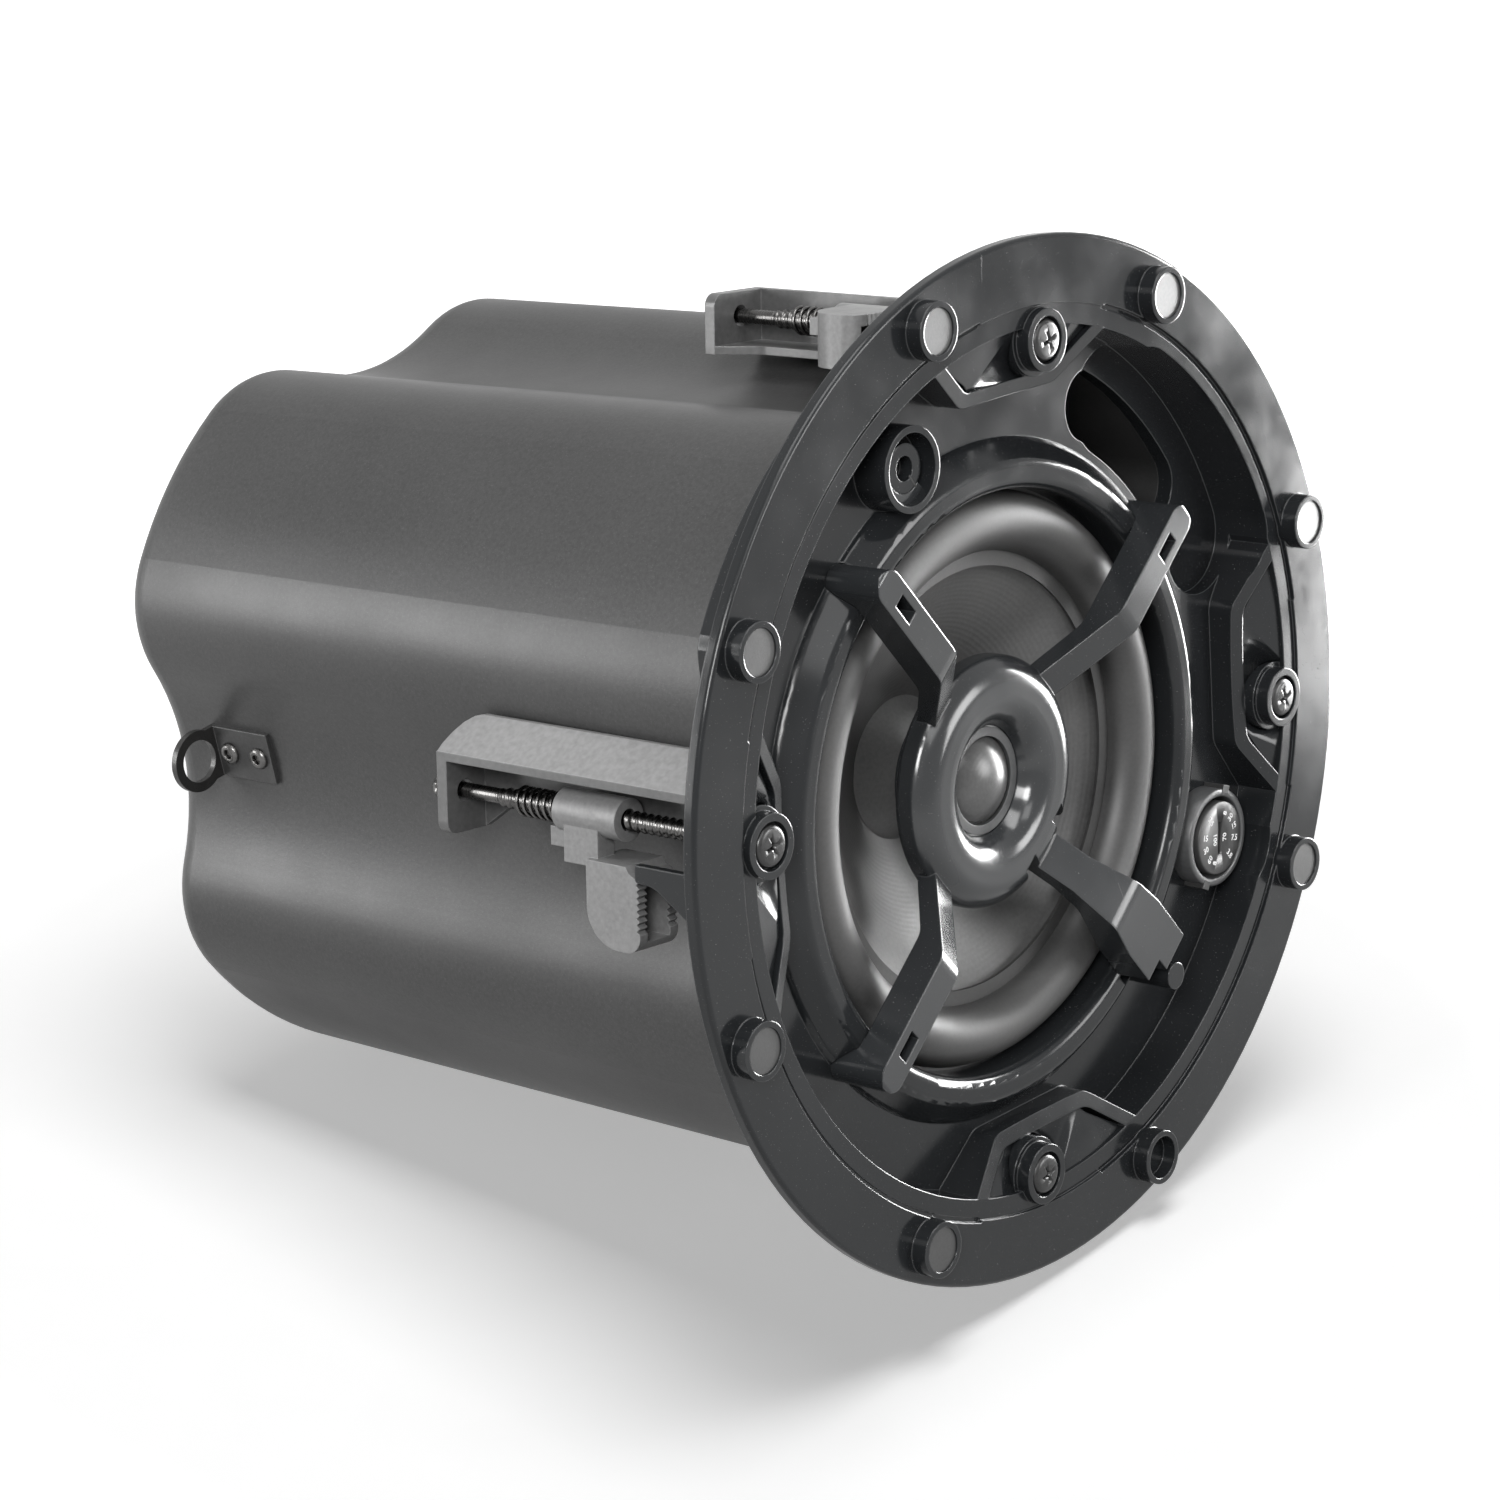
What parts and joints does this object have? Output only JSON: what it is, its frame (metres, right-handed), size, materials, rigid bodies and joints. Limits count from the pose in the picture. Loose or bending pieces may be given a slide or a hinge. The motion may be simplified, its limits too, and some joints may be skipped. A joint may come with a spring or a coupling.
{
  "type": "in-ceiling loudspeaker",
  "caption": "Round in-ceiling loudspeaker in a lobed steel can: coaxial driver under a tweeter bridge, bass port, tap dial, swing-out clamps and rear safety loops.",
  "frame": {"origin": "centre of the can's flat rear face, on the speaker's axis", "axes": "+Z along the speaker's axis, out of the front; +X to one clamp screw and +Y to the next one"},
  "size_m": [0.242, 0.242, 0.213],
  "materials": {
    "baffle_plastic": "gloss moulded ABS",
    "duct_plastic": "matt moulded plastic",
    "can_paint": "fine-grained powder coat",
    "magnet_nickel": "satin black nickel plate",
    "frame_paint": "black paint",
    "surround_rubber": "smooth rubber",
    "cone_plastic": "satin cone",
    "cap_plastic": "satin",
    "coil_former": "foil",
    "copper_wire": "enamelled copper",
    "spider_cloth": "impregnated cloth",
    "zinc_steel": "zinc plate",
    "ferrite": "sintered ferrite",
    "ring_plastic": "satin",
    "dome_film": "satin film",
    "dial_plastic": "matt with light print",
    "switch_plastic": "matt",
    "rivet_steel": "black zinc plate",
    "loop_steel": "fine-grained powder coat",
    "screw_steel": "black zinc plate",
    "spring_steel": "spring wire",
    "clamp_nylon": "glass-filled nylon",
    "grip_nylon": "nylon",
    "board_laminate": "circuit laminate"
  },
  "bodies": {
    "housing": {"baffle": "baffle_plastic", "port_duct": "duct_plastic", "back_can": "can_paint", "grille_magnets": "magnet_nickel", "driver_frame": "frame_paint", "surround": "surround_rubber", "spider": "spider_cloth", "top_plate": "zinc_steel", "ring_magnet": "ferrite", "back_plate": "zinc_steel", "tweeter_bridge": "baffle_plastic", "dome_ring": "ring_plastic", "tweeter_dome": "dome_film", "tweeter_magnet": "zinc_steel", "dial_ring": "ring_plastic", "tap_switch": "switch_plastic", "loop_rivets": "rivet_steel", "terminal_box": "can_paint", "terminal_cover": "can_paint", "cover_screws": "screw_steel", "cord_grip": "grip_nylon", "transformer_core": "zinc_steel", "transformer_winding": "copper_wire", "crossover_board": "board_laminate", "board_pillars": "grip_nylon", "safety_loop_west": "loop_steel", "safety_loop_south": "loop_steel", "clamp_channel_east": "clamp_nylon", "clamp_channel_north": "clamp_nylon", "clamp_channel_west": "clamp_nylon", "clamp_channel_south": "clamp_nylon"},
    "screw_east": {"clamp_screw_east": "screw_steel"},
    "carriage_east": {"clamp_spring_east": "spring_steel"},
    "arm_east": {"dog_leg_east": "clamp_nylon"},
    "screw_north": {"clamp_screw_north": "screw_steel"},
    "carriage_north": {"clamp_spring_north": "spring_steel"},
    "arm_north": {"dog_leg_north": "clamp_nylon"},
    "screw_west": {"clamp_screw_west": "screw_steel"},
    "carriage_west": {"clamp_spring_west": "spring_steel"},
    "arm_west": {"dog_leg_west": "clamp_nylon"},
    "screw_south": {"clamp_screw_south": "screw_steel"},
    "carriage_south": {"clamp_spring_south": "spring_steel"},
    "arm_south": {"dog_leg_south": "clamp_nylon"},
    "tap_knob": {"tap_dial": "dial_plastic"},
    "diaphragm": {"cone": "cone_plastic", "dust_cap": "cap_plastic", "voice_coil": "coil_former", "coil_winding": "copper_wire"}
  },
  "joints": [
    {"name": "clamp_travel_east", "type": "slide", "parent": "housing", "child": "carriage_east", "axis": [0, 0, 1], "range_m": [-0.015, 0.0195]},
    {"name": "screw_turn_east", "type": "hinge", "parent": "housing", "child": "screw_east", "pos_m": [0.0974, 0, 0.16], "axis": [0, 0, 1], "range_deg": [-2580, 3350]},
    {"name": "arm_swing_east", "type": "hinge", "parent": "carriage_east", "child": "arm_east", "pos_m": [0.0974, 0, 0.16], "axis": [0, 0, -1], "range_deg": [0, 90]},
    {"name": "clamp_travel_north", "type": "slide", "parent": "housing", "child": "carriage_north", "axis": [0, 0, 1], "range_m": [-0.015, 0.0195]},
    {"name": "screw_turn_north", "type": "hinge", "parent": "housing", "child": "screw_north", "pos_m": [0, 0.0974, 0.16], "axis": [0, 0, 1], "range_deg": [-2580, 3350]},
    {"name": "arm_swing_north", "type": "hinge", "parent": "carriage_north", "child": "arm_north", "pos_m": [0, 0.0974, 0.16], "axis": [0, 0, -1], "range_deg": [0, 90]},
    {"name": "clamp_travel_west", "type": "slide", "parent": "housing", "child": "carriage_west", "axis": [0, 0, 1], "range_m": [-0.015, 0.0195]},
    {"name": "screw_turn_west", "type": "hinge", "parent": "housing", "child": "screw_west", "pos_m": [-0.0974, 0, 0.16], "axis": [0, 0, 1], "range_deg": [-2580, 3350]},
    {"name": "arm_swing_west", "type": "hinge", "parent": "carriage_west", "child": "arm_west", "pos_m": [-0.0974, 0, 0.16], "axis": [0, 0, -1], "range_deg": [0, 90]},
    {"name": "clamp_travel_south", "type": "slide", "parent": "housing", "child": "carriage_south", "axis": [0, 0, 1], "range_m": [-0.015, 0.0195]},
    {"name": "screw_turn_south", "type": "hinge", "parent": "housing", "child": "screw_south", "pos_m": [0, -0.0974, 0.16], "axis": [0, 0, 1], "range_deg": [-2580, 3350]},
    {"name": "arm_swing_south", "type": "hinge", "parent": "carriage_south", "child": "arm_south", "pos_m": [0, -0.0974, 0.16], "axis": [0, 0, -1], "range_deg": [0, 90]},
    {"name": "tap_turn", "type": "hinge", "parent": "housing", "child": "tap_knob", "pos_m": [0.08038, -0.03329, 0.2], "axis": [0, 0, 1], "range_deg": [-75, 75]},
    {"name": "cone_travel", "type": "slide", "parent": "housing", "child": "diaphragm", "axis": [0, 0, 1], "range_m": [-0.003, 0.003], "stiffness_N_per_m": 1700, "deforming": ["surround", "spider"]}
  ],
  "couplings": [
    {"joint": "screw_turn_east", "follows": "clamp_travel_east", "rad_per_m": 2992},
    {"joint": "screw_turn_north", "follows": "clamp_travel_north", "rad_per_m": 2992},
    {"joint": "screw_turn_west", "follows": "clamp_travel_west", "rad_per_m": 2992},
    {"joint": "screw_turn_south", "follows": "clamp_travel_south", "rad_per_m": 2992}
  ]
}
